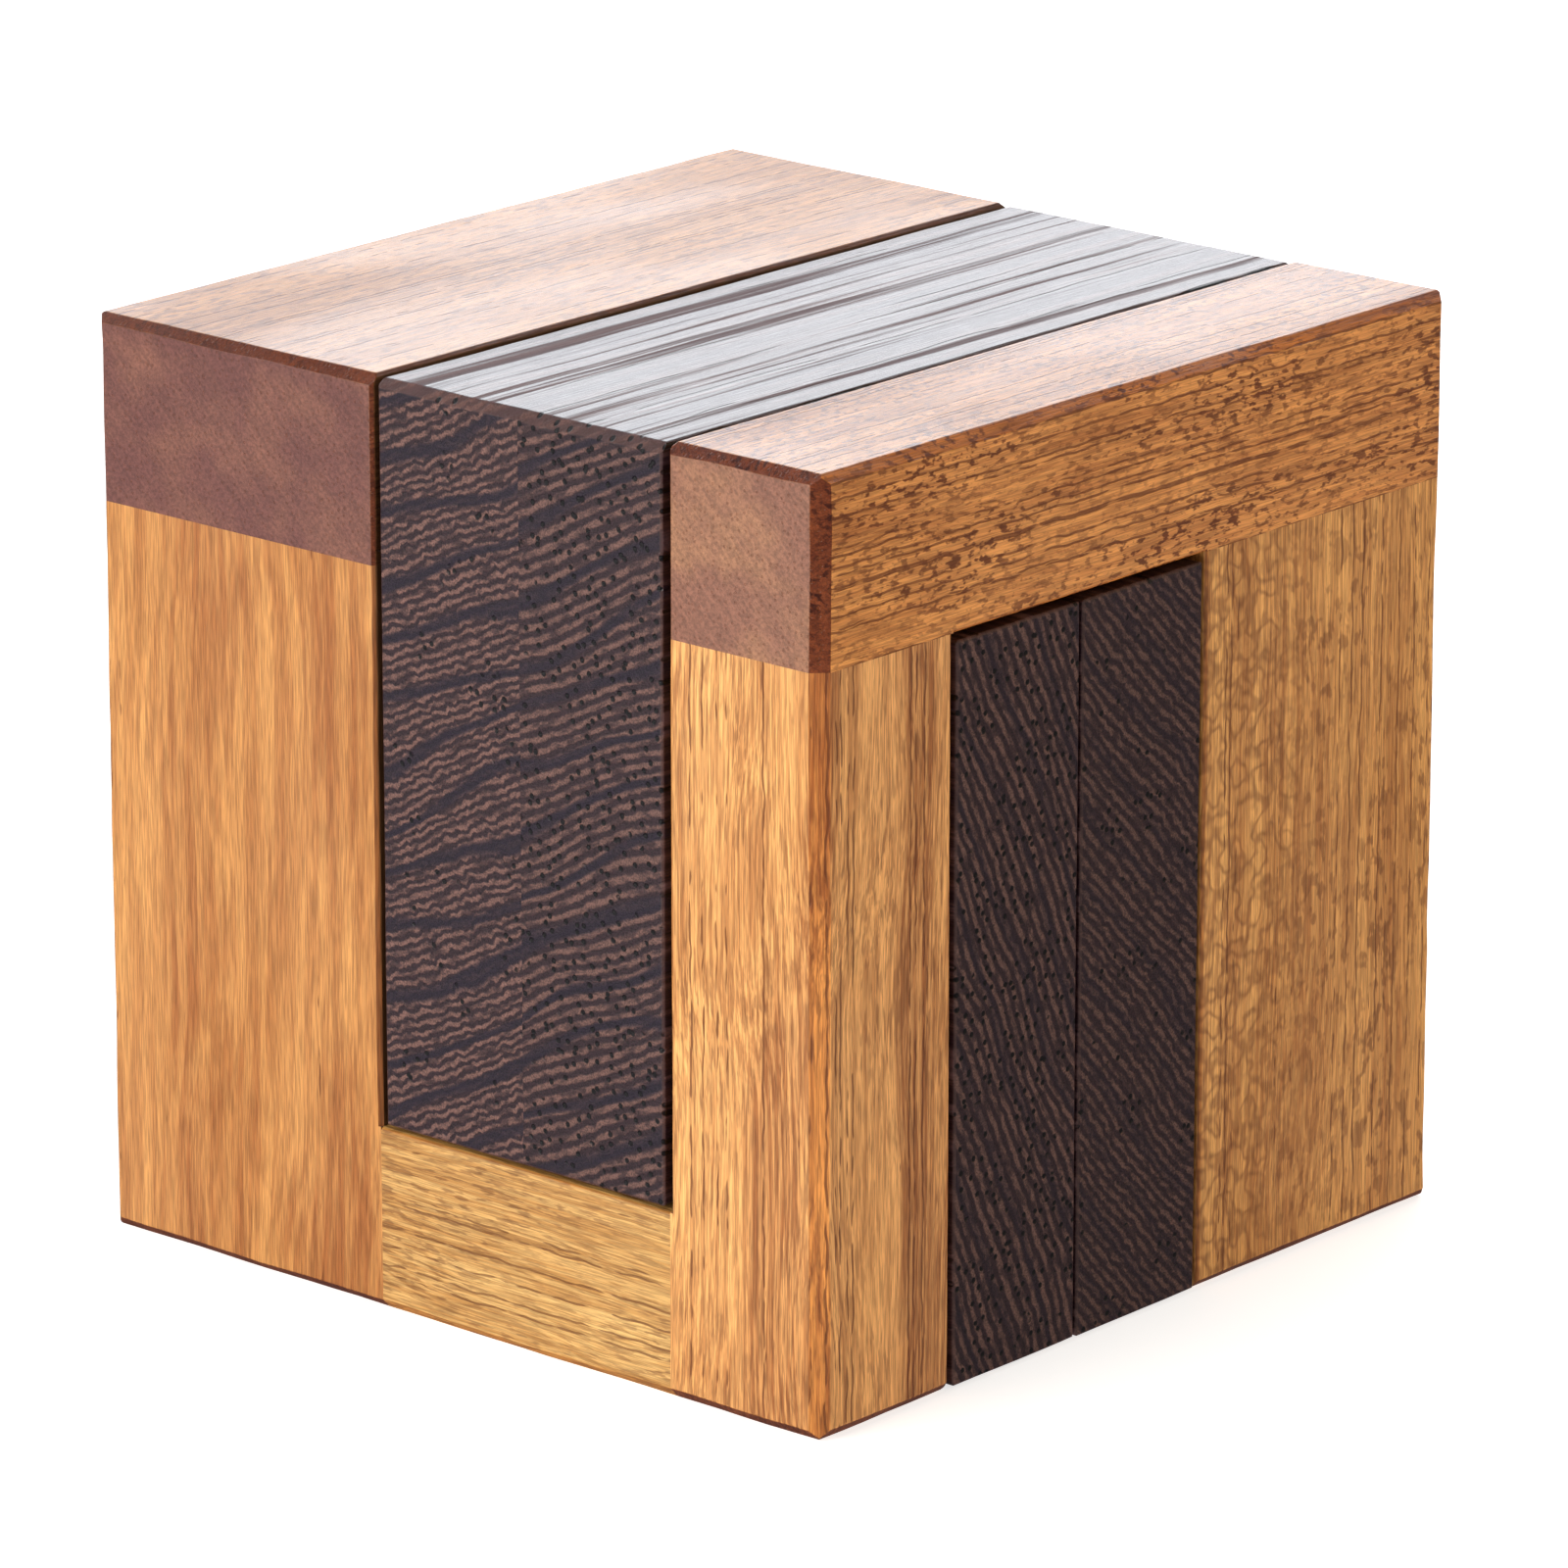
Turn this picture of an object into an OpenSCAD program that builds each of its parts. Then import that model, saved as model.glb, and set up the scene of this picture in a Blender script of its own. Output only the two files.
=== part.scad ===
// Wooden puzzle box: a closed cube laid out on a grid of five units a side.
// A cage of light wood holds a dark lift-off lid, which straddles the cube from left to
// right, and two dark slide boards, which run from front to rear underneath the lid.
// X runs left to right, Y front to rear and Z up from the middle of the underside.

/* [Cube] */
// Outer side of the closed cube
side = 75; // [60:5:100]
// Flat on the cube's four upright edges
corner_bevel = 1.2; // [0.6:0.1:1.6]
// Flat on the cube's top and bottom rims
rim_bevel = 0.8; // [0.4:0.1:1.2]
// Flat on the cage's edges beside the dark boards
channel_bevel = 0.3; // [0.2:0.1:1.2]
// Flat on the edges of the dark boards
board_bevel = 0.2; // [0.2:0.1:0.8]

/* [Fits] */
// Side clearance taken off each dark board
fit_gap = 0.6; // [0.4:0.1:1]
// Clearance between the two slide boards
pair_gap = 0.3; // [0.3:0.05:0.4]
// Clearance under the lid's feet and under the slide boards
foot_gap = 0.3; // [0.3:0.05:0.5]
// Clearance between the slide boards and the top rails
head_gap = 0.7; // [0.4:0.1:1]
// How far the lid's top lies below the top rails
lid_drop = 0.2; // [0:0.05:0.4]

/* [Runners] */
// Height of the runner strip in each slide board
runner_h = 4; // [3:0.5:5]
// How far the runner is let into its board
runner_in = 2; // [1.5:0.5:3]
// How far the runner reaches past the wall of the channel
runner_out = 2.2; // [1.5:0.1:2.5]
// Play of the runner in its groove, on every side
runner_play = 0.3; // [0.2:0.05:0.5]

/* [Dowels and magnets] */
// Diameter of the dowels
dowel_d = 6; // [4:0.5:6]
// Length of a dowel on each side of its joint
dowel_half = 9; // [6:0.5:10]
// Diameter of the disc magnets
magnet_d = 6; // [4:0.5:8]
// Thickness of the disc magnets
magnet_t = 2; // [1:0.5:3]

/* [Hidden] */
$fn = 48;

LIGHT = [0.83, 0.58, 0.31];
GOLD = [0.90, 0.67, 0.36];
RED_GOLD = [0.76, 0.47, 0.24];
DARK = [0.30, 0.23, 0.22];
DARK_BROWN = [0.25, 0.18, 0.15];
BEECH = [0.87, 0.75, 0.58];
STEEL = [0.75, 0.76, 0.78];

LEFT = -1;
RIGHT = 1;

unit = side / 5;
half = side / 2;
board_t = unit - fit_gap;
glue_gap = 0.05;
cut = 1;

// The lid stands on the bottom rails and fills the channel up to the top
lid_front = at(2) - board_t;
lid_rear = at(2) + board_t;
lid_foot = unit + foot_gap;
lid_top = side - lid_drop;
lid_plate_z = 3 * unit;

// The slide boards, measured from the plane between them
slide_in = pair_gap / 2;
slide_out = pair_gap / 2 + board_t;
slide_top = 4 * unit - head_gap;
slide_floor = unit;
slide_travel = unit;

// The runner's groove stops short of both faces, so that it can't be seen
groove_front = at(0.3);
groove_rear = at(4.7);
runner_z = unit / 2 - runner_h / 2;
magnet_z = 3.5 * unit;

// Dowel centres: [x, y] in grid units over the posts, [x, y] at the rails' end joints,
// and [x, z] across the glue line of the lid
post_dowel_spots = [
    [0.5, 0.5], [0.5, 3.5], [0.5, 4.5], [3.5, 0.5], [4.5, 0.5], [3.5, 3.5], [4.5, 4.5]
];
rail_dowel_spots = [[0.5, 1], [0.5, 3], [3.7, 1], [3.7, 3], [4.5, 1], [4.5, 3]];
lid_dowel_spots = [[0.5, 2], [2, 4], [3.5, 2], [4.5, 2]];

// Grid units to millimetres along X or Y
function at(units) = units * unit - half;

// A block between two grid points
module block(low, high) {
    translate([at(low.x), at(low.y), low.z * unit])
        cube((high - low) * unit);
}

// A square bar set on its corner along the edge from p to q: cut away, it leaves a flat
module bevel(p, q, leg) {
    run = q - p;
    turn = abs(run.x) > 0 ? [0, 90, 0] : abs(run.y) > 0 ? [90, 0, 0] : [0, 0, 0];
    translate((p + q) / 2)
        rotate(turn)
            linear_extrude(norm(run), center = true)
                polygon([[leg, 0], [0, leg], [-leg, 0], [0, -leg]]);
}

// The same between two grid points
module grid_bevel(p, q, leg) {
    bevel([at(p.x), at(p.y), p.z * unit], [at(q.x), at(q.y), q.z * unit], leg);
}

// Flats for all twelve edges of a box: its rims, and its upright corners
module box_bevels(low, high, rim, corner) {
    for (z = [low.z, high.z]) {
        for (y = [low.y, high.y])
            bevel([low.x - cut, y, z], [high.x + cut, y, z], rim);
        for (x = [low.x, high.x])
            bevel([x, low.y - cut, z], [x, high.y + cut, z], rim);
    }
    for (x = [low.x, high.x], y = [low.y, high.y])
        bevel([x, y, low.z - cut], [x, y, high.z + cut], corner);
}

// Everything symmetric about the plane between the slide boards
module slide_side(hand) {
    translate([at(2), 0, 0])
        mirror([hand == LEFT ? 1 : 0, 0, 0])
            children();
}

// ---- Cage -------------------------------------------------------------------------

// Flats where the lid's channel meets the outer faces
module lid_channel_bevels() {
    for (y = [1, 3]) {
        grid_bevel([-0.1, y, 5], [5.1, y, 5], channel_bevel);
        for (x = [0, 5])
            grid_bevel([x, y, 1], [x, y, 5.1], channel_bevel);
    }
    for (x = [0, 5])
        grid_bevel([x, 1, 1], [x, 3, 1], board_bevel);
}

// Flats where the slide boards' channel meets the outer faces
module slide_channel_bevels() {
    for (x = [1, 3]) {
        grid_bevel([x, -0.1, 0], [x, 5.1, 0], board_bevel);
        for (y = [0, 5])
            grid_bevel([x, y, -0.1], [x, y, 4], channel_bevel);
    }
    for (y = [0, 5])
        grid_bevel([1, y, 4], [3, y, 4], board_bevel);
}

// Blind grooves that keep the slide boards in the cage and set their travel
module runner_grooves() {
    for (hand = [LEFT, RIGHT])
        slide_side(hand)
            translate([unit - cut, groove_front, runner_z - runner_play])
                cube([
                    runner_out + runner_play + cut,
                    groove_rear - groove_front,
                    runner_h + 2 * runner_play
                ]);
}

// Dowels, or with gap = 0 the bores they are glued into
module post_dowel_set(gap) {
    for (spot = post_dowel_spots)
        translate([at(spot.x), at(spot.y), 4 * unit])
            cylinder(h = 2 * (dowel_half - gap), r = dowel_d / 2 - gap, center = true);
}

module rail_dowel_set(gap) {
    for (spot = rail_dowel_spots)
        translate([at(spot.x), at(spot.y), unit / 2])
            rotate([90, 0, 0])
                cylinder(h = 2 * (dowel_half - gap), r = dowel_d / 2 - gap, center = true);
}

// One glued piece of the cage: the cage is worked as a whole after it is glued up
module cage_piece(low, high) {
    difference() {
        block(low, high);
        box_bevels([-half, -half, 0], [half, half, side], rim_bevel, corner_bevel);
        lid_channel_bevels();
        slide_channel_bevels();
        runner_grooves();
        post_dowel_set(0);
        rail_dowel_set(0);
    }
}

module top_rail_front() {
    color(LIGHT) cage_piece([0, 0, 4], [5, 1, 5]);
}

module top_rail_rear() {
    color(LIGHT) cage_piece([0, 3, 4], [5, 5, 5]);
}

module post_front_left() {
    color(GOLD) cage_piece([0, 0, 0], [1, 1, 4]);
}

module post_front_right() {
    color(RED_GOLD) cage_piece([3, 0, 0], [5, 1, 4]);
}

module post_rear_left() {
    color(LIGHT) cage_piece([0, 3, 0], [1, 5, 4]);
}

module post_rear_right() {
    color(RED_GOLD) cage_piece([3, 3, 0], [5, 5, 4]);
}

module bottom_rail_left() {
    color(GOLD) cage_piece([0, 1, 0], [1, 3, 1]);
}

module bottom_rail_right() {
    color(GOLD) cage_piece([3, 1, 0], [5, 3, 1]);
}

module post_dowels() {
    color(BEECH) post_dowel_set(glue_gap);
}

module rail_dowels() {
    color(BEECH) rail_dowel_set(glue_gap);
}

// ---- Lid --------------------------------------------------------------------------

module lid_dowel_set(gap) {
    for (spot = lid_dowel_spots)
        translate([at(spot.x), at(2), spot.y * unit])
            rotate([90, 0, 0])
                cylinder(h = 2 * (dowel_half - gap), r = dowel_d / 2 - gap, center = true);
}

// Magnets flush in the lid's front side, one over each slide board's front leg
module lid_magnet_set(gap) {
    for (x = [1.5, 2.5])
        translate([at(x), lid_front, magnet_z])
            rotate([-90, 0, 0])
                cylinder(h = magnet_t - gap, r = magnet_d / 2 - gap);
}

// One of the two glued saddle boards, notched from below over the compartment. The cube's
// rim runs on over its ends.
module lid_board(front) {
    difference() {
        translate([-half, front, lid_foot])
            cube([side, board_t, lid_top - lid_foot]);
        translate([at(1), front - cut, 0])
            cube([2 * unit, board_t + 2 * cut, lid_plate_z]);
        box_bevels(
            [-half, lid_front, lid_foot], [half, lid_rear, lid_top], board_bevel, board_bevel
        );
        for (x = [-half, half])
            bevel([x, lid_front - cut, lid_top], [x, lid_rear + cut, lid_top], rim_bevel);
        lid_dowel_set(0);
        lid_magnet_set(0);
    }
}

module lid_board_front() {
    color(DARK) lid_board(lid_front);
}

module lid_board_rear() {
    color(DARK_BROWN) lid_board(at(2));
}

module lid_dowels() {
    color(BEECH) lid_dowel_set(glue_gap);
}

module lid_magnets() {
    color(STEEL) lid_magnet_set(glue_gap);
}

// ---- Slide boards -----------------------------------------------------------------

// A strip let into the outer side of a slide board, which runs in the cage's groove
module runner() {
    translate([slide_out - runner_in, groove_front + slide_travel + runner_play / 2, runner_z])
        cube([
            unit + runner_out - slide_out + runner_in,
            groove_rear - groove_front - slide_travel - runner_play,
            runner_h
        ]);
}

// A magnet flush in the inner side of the front leg, facing the lid's magnet
module slide_magnet(gap) {
    translate([unit / 2, at(1), magnet_z])
        rotate([90, 0, 0])
            cylinder(h = magnet_t - gap, r = magnet_d / 2 - gap);
}

// One slide board, notched from above: a floor between a front and a rear leg
module slide_board() {
    difference() {
        translate([slide_in, -half, foot_gap])
            cube([board_t, side, slide_top - foot_gap]);
        translate([slide_in - cut, at(1), slide_floor])
            cube([board_t + 2 * cut, 3 * unit, side]);
        box_bevels(
            [slide_in, -half, foot_gap], [slide_out, half, slide_top], board_bevel, board_bevel
        );
        runner();
        slide_magnet(0);
    }
}

module slide_board_left() {
    color(DARK) slide_side(LEFT) slide_board();
}

module slide_board_right() {
    color(DARK_BROWN) slide_side(RIGHT) slide_board();
}

module slide_runner_left() {
    color(BEECH) slide_side(LEFT) runner();
}

module slide_runner_right() {
    color(BEECH) slide_side(RIGHT) runner();
}

module slide_magnet_left() {
    color(STEEL) slide_side(LEFT) slide_magnet(glue_gap);
}

module slide_magnet_right() {
    color(STEEL) slide_side(RIGHT) slide_magnet(glue_gap);
}

top_rail_front();
top_rail_rear();
post_front_left();
post_front_right();
post_rear_left();
post_rear_right();
bottom_rail_left();
bottom_rail_right();
post_dowels();
rail_dowels();
lid_board_front();
lid_board_rear();
lid_dowels();
lid_magnets();
slide_board_left();
slide_board_right();
slide_runner_left();
slide_runner_right();
slide_magnet_left();
slide_magnet_right();
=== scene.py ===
from math import cos, pi, radians, sin

import bmesh
import bpy
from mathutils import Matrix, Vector, noise


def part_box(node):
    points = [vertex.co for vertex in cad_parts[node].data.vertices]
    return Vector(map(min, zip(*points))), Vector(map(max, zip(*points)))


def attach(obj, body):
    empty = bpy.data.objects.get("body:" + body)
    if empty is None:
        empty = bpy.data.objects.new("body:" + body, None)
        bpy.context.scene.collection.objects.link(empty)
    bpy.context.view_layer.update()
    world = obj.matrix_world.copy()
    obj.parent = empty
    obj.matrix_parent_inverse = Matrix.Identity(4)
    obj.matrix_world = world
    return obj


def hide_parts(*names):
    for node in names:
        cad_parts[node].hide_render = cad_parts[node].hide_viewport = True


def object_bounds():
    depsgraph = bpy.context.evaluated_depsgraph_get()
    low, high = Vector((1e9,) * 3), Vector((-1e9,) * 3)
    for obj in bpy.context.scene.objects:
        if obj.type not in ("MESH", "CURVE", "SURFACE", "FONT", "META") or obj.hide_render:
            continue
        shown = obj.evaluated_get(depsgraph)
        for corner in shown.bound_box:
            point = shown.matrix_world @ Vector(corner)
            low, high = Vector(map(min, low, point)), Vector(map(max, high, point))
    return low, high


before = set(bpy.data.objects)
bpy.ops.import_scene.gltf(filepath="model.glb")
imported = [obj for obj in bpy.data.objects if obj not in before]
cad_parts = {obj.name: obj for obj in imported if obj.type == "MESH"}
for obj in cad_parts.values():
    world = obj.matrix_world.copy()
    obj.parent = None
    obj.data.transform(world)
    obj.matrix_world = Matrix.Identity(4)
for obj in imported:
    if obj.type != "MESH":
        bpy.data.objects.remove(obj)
cad_low, cad_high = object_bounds()

# ---- Top rails ----------------------------------------------------------------------
# Two rails of light golden hardwood lie along the top of the cage, glued and dowelled on
# the posts. They were planed flush with the posts, chamfered by hand and oiled.

MM = 0.001
SIDE = cad_high.z - cad_low.z
HALF = SIDE / 2
GRID = SIDE / 5
MIDDLE = Vector((0, 0, cad_low.z + HALF))
GLUE_LINE = 2 * GRID - HALF

CAGE_ARRIS = 0.15 * MM
ARRIS_STEPS = 3
WELD = 0.001 * MM
ON_THE_LINE = 0.01 * MM
SHORT_EDGE = 0.4 * MM
LONG_EDGE = 10 * MM
FLAT = radians(1)
BEVEL_LEAST = radians(30)
BEVEL_MOST = radians(75)
SOFT_TURN = radians(6)

FACET = 2.5 * MM
FACET_START = 0.37 * FACET
HAND_REACH = 4 * MM
HAND_WANDER = 0.05 * MM
BEVEL_WANDER = 0.2
SLOW_WAVE = 14 * MM
QUICK_WAVE = 5 * MM


def by_hand(place, seed):
    """Where hand sanding leaves a point of the square block: a bevel's width wanders."""
    offset = place - MIDDLE
    moved = Vector(place)
    for axis in range(3):
        depth = HALF - abs(offset[axis])
        fade = max(0, 1 - depth / HAND_REACH)
        if fade == 0:
            continue
        slow = noise.noise(place / SLOW_WAVE + Vector((seed, 7 * axis, 0)))
        quick = noise.noise(place / QUICK_WAVE + Vector((seed, 0, 7 * axis)))
        inward = depth * BEVEL_WANDER * (slow + quick) * fade
        inward += HAND_WANDER * (0.5 + 0.5 * slow) * fade
        moved[axis] -= inward if offset[axis] > 0 else -inward
    return moved


def worked_piece(node, name, arris, square_edges=False, seed=0.0):
    """A copy of a sawn piece with its bevels' arrises, and its long square edges if asked,
    rounded over. Its faces are cut into facets, which hand sanding then moves."""
    block = bmesh.new()
    block.from_mesh(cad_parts[node].data)
    bmesh.ops.remove_doubles(block, verts=block.verts, dist=WELD)
    bmesh.ops.dissolve_limit(block, angle_limit=FLAT, verts=block.verts, edges=block.edges)
    arrises = []
    for edge in block.edges:
        angle = edge.calc_face_angle(0)
        length = edge.calc_length()
        bevelled = BEVEL_LEAST < angle < BEVEL_MOST
        square = angle > BEVEL_MOST and length > LONG_EDGE
        glued = all(abs(v.co.y - GLUE_LINE) < ON_THE_LINE for v in edge.verts)
        if length > SHORT_EDGE and (bevelled or (square_edges and square and not glued)):
            arrises.append(edge)
    bmesh.ops.bevel(
        block, geom=arrises, offset=arris, segments=ARRIS_STEPS, profile=0.5, affect="EDGES",
        clamp_overlap=True,
    )
    for axis in range(3):
        across = Vector([float(k == axis) for k in range(3)])
        low = min(v.co[axis] for v in block.verts)
        high = max(v.co[axis] for v in block.verts)
        cut = int(low / FACET) * FACET + FACET_START
        while cut < high:
            if cut > low:
                everything = block.verts[:] + block.edges[:] + block.faces[:]
                bmesh.ops.bisect_plane(
                    block, geom=everything, dist=WELD, plane_co=across * cut, plane_no=across,
                )
            cut += FACET
    for vertex in block.verts:
        vertex.co = by_hand(vertex.co, seed)
    for face in block.faces:
        face.smooth = True
    for edge in block.edges:
        edge.smooth = edge.calc_face_angle(0) < SOFT_TURN
    mesh = bpy.data.meshes.new(name)
    block.to_mesh(mesh)
    block.free()
    piece = bpy.data.objects.new(name, mesh)
    bpy.context.scene.collection.objects.link(piece)
    return piece


def put_on(piece, material, body, slot, *nodes):
    """Gives a piece its material, its body and the nodes it stands for; its finish slot is not
    used.
    """
    if not piece.data.materials:
        piece.data.materials.append(material)
    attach(piece, body)
    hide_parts(*nodes)


def new_node(tree, kind, **settings):
    made = tree.nodes.new(kind)
    for key, value in settings.items():
        setattr(made, key, value)
    return made


def feed(tree, socket, value):
    """Links a socket to another, or sets it to a plain value."""
    if isinstance(value, bpy.types.NodeSocket):
        tree.links.new(value, socket)
    else:
        socket.default_value = value


def sums(tree, operation, first, second=0.0):
    made = new_node(tree, "ShaderNodeMath", operation=operation)
    feed(tree, made.inputs[0], first)
    feed(tree, made.inputs[1], second)
    return made.outputs[0]


def vector_sums(tree, operation, first, second):
    made = new_node(tree, "ShaderNodeVectorMath", operation=operation)
    feed(tree, made.inputs[0], first)
    feed(tree, made.inputs[1], second)
    return made.outputs["Value" if operation == "DOT_PRODUCT" else "Vector"]


def step(tree, value, low, high, start=0.0, end=1.0):
    """Runs smoothly from start to end as the value goes from low to high."""
    made = new_node(tree, "ShaderNodeMapRange", interpolation_type="SMOOTHSTEP")
    for index, given in enumerate((value, low, high, start, end)):
        feed(tree, made.inputs[index], given)
    return made.outputs[0]


def split_up(tree, vector):
    """The three parts of a vector."""
    made = new_node(tree, "ShaderNodeSeparateXYZ")
    feed(tree, made.inputs[0], vector)
    return made.outputs


def joined(tree, *parts):
    """A vector of the parts given; the rest is 0."""
    made = new_node(tree, "ShaderNodeCombineXYZ")
    for index, part in enumerate(parts):
        feed(tree, made.inputs[index], part)
    return made.outputs[0]


def grey(tree, value):
    """A number as a colour."""
    made = new_node(tree, "ShaderNodeCombineColor")
    for socket in made.inputs:
        feed(tree, socket, value)
    return made.outputs[0]


def blend_colours(tree, factor, first, second, mode="MIX"):
    made = new_node(tree, "ShaderNodeMix", data_type="RGBA", blend_type=mode)
    feed(tree, made.inputs[0], factor)
    feed(tree, made.inputs[6], first)
    feed(tree, made.inputs[7], second)
    return made.outputs[2]


def shaded(tree, colour, value):
    """A colour multiplied by a number."""
    return blend_colours(tree, 1.0, colour, grey(tree, value), "MULTIPLY")


def cloud(tree, place, size, detail=3.0, roughness=0.5):
    """Noise whose lumps are size = (across, across, along the grain) in millimetres."""
    made = new_node(tree, "ShaderNodeTexNoise")
    feed(tree, made.inputs["Vector"], vector_sums(tree, "DIVIDE", place, size))
    feed(tree, made.inputs["Scale"], 1.0)
    feed(tree, made.inputs["Detail"], detail)
    feed(tree, made.inputs["Roughness"], roughness)
    return made


def streaks(tree, place, size, low, high, start=0.0, end=1.0, detail=2.0, roughness=0.6):
    """Noise drawn out along the grain, sharpened so that it passes from start to end."""
    lumps = cloud(tree, place, size, detail, roughness).outputs["Fac"]
    return step(tree, lumps, low, high, start, end)


def vessels(tree, place, spacing, reach, share, sway, dash):
    """Open pores: tubes along the grain, which sway in and out of a cut within a dash's
    length. They show as dots in end grain and as dashes in long grain."""
    wander = cloud(tree, place, (9, 9, dash), 1.0).outputs["Color"]
    moved = vector_sums(tree, "MULTIPLY", wander, (sway, sway, 0))
    moved = vector_sums(tree, "ADD", place, moved)
    tubes = new_node(tree, "ShaderNodeTexVoronoi", voronoi_dimensions="2D")
    feed(tree, tubes.inputs["Vector"], vector_sums(tree, "DIVIDE", moved, (spacing,) * 3))
    feed(tree, tubes.inputs["Scale"], 1.0)
    lottery = new_node(tree, "ShaderNodeSeparateColor")
    feed(tree, lottery.inputs[0], tubes.outputs["Color"])
    inside = step(tree, tubes.outputs["Distance"], reach / spacing, 0.6 * reach / spacing)
    chosen = step(tree, lottery.outputs[0], 1 - share, 1.02 - share)
    return sums(tree, "MULTIPLY", inside, chosen)


def grain_axes(tree, grain, shift):
    """The place in millimetres, as (across, across, along the grain), how squarely the
    surface there cuts the grain, and whether it lies on a bevel or a rounded arris."""
    here = new_node(tree, "ShaderNodeTexCoord")
    parts = split_up(tree, vector_sums(tree, "MULTIPLY", here.outputs["Object"], (1 / MM,) * 3))
    order = {"X": "YZX", "Y": "XZY", "Z": "XYZ"}[grain]
    turned = joined(tree, *(parts[letter] for letter in order))
    place = vector_sums(tree, "ADD", turned, shift)
    normal = split_up(tree, here.outputs["Normal"])
    leans = {letter: sums(tree, "ABSOLUTE", normal[letter]) for letter in "XYZ"}
    squarest = sums(tree, "MAXIMUM", leans["X"], sums(tree, "MAXIMUM", leans["Y"], leans["Z"]))
    return place, leans[grain], step(tree, squarest, 0.96, 0.84)


def new_material(name):
    material = bpy.data.materials.new(name)
    material.use_nodes = True
    material.node_tree.nodes.clear()
    return material


def finished(tree, colour, roughness, height, depth, metallic=0.0):
    """The surface itself, with its pores and fibres or its plating as relief."""
    bump = new_node(tree, "ShaderNodeBump")
    feed(tree, bump.inputs["Height"], height)
    bump.inputs["Distance"].default_value = depth
    bump.inputs["Strength"].default_value = 1.0
    shader = new_node(tree, "ShaderNodeBsdfPrincipled")
    feed(tree, shader.inputs["Base Color"], colour)
    feed(tree, shader.inputs["Roughness"], roughness)
    feed(tree, shader.inputs["Normal"], bump.outputs[0])
    shader.inputs["IOR"].default_value = 1.5
    shader.inputs["Metallic"].default_value = metallic
    output = new_node(tree, "ShaderNodeOutputMaterial")
    feed(tree, output.inputs["Surface"], shader.outputs[0])


SAWN_BROWN = (0.24, 0.105, 0.065)
OILED_EDGE = (0.86, 0.66, 0.4)
OILED_SAWN_EDGE = (0.27, 0.135, 0.11, 1)
# Near-black brown for painted shade: it darkens the walls beside the lid's channel, where the
# gap lies in shadow.
GAP_SHADE_BROWN = (0.03, 0.012, 0.008, 1)
RAY_SLANT = pi / 4
LIGHT_PORE_DEPTH = 0.04 * MM


def sawn_end(tree, place, ends):
    """Sawn ends soak up oil: darker, with golden zones, fine specks and slanting rays."""
    golden = (ends[0] * 1.4, ends[1] * 1.55, ends[2] * 1.25, 1)
    zones = streaks(tree, place, (9, 9, 150), 0.38, 0.66, detail=3.0)
    specks = streaks(tree, place, (0.3, 0.3, 4), 0.36, 0.64, 0.8, 1.18, 3.0, 0.7)
    slanted = new_node(tree, "ShaderNodeVectorRotate", rotation_type="Z_AXIS")
    feed(tree, slanted.inputs["Vector"], place)
    slanted.inputs["Angle"].default_value = RAY_SLANT
    rays = streaks(tree, slanted.outputs[0], (0.35, 6, 30), 0.36, 0.64, 0.9, 1.08)
    sawn = shaded(tree, blend_colours(tree, zones, (*ends, 1), golden), specks)
    return shaded(tree, sawn, rays)


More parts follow.
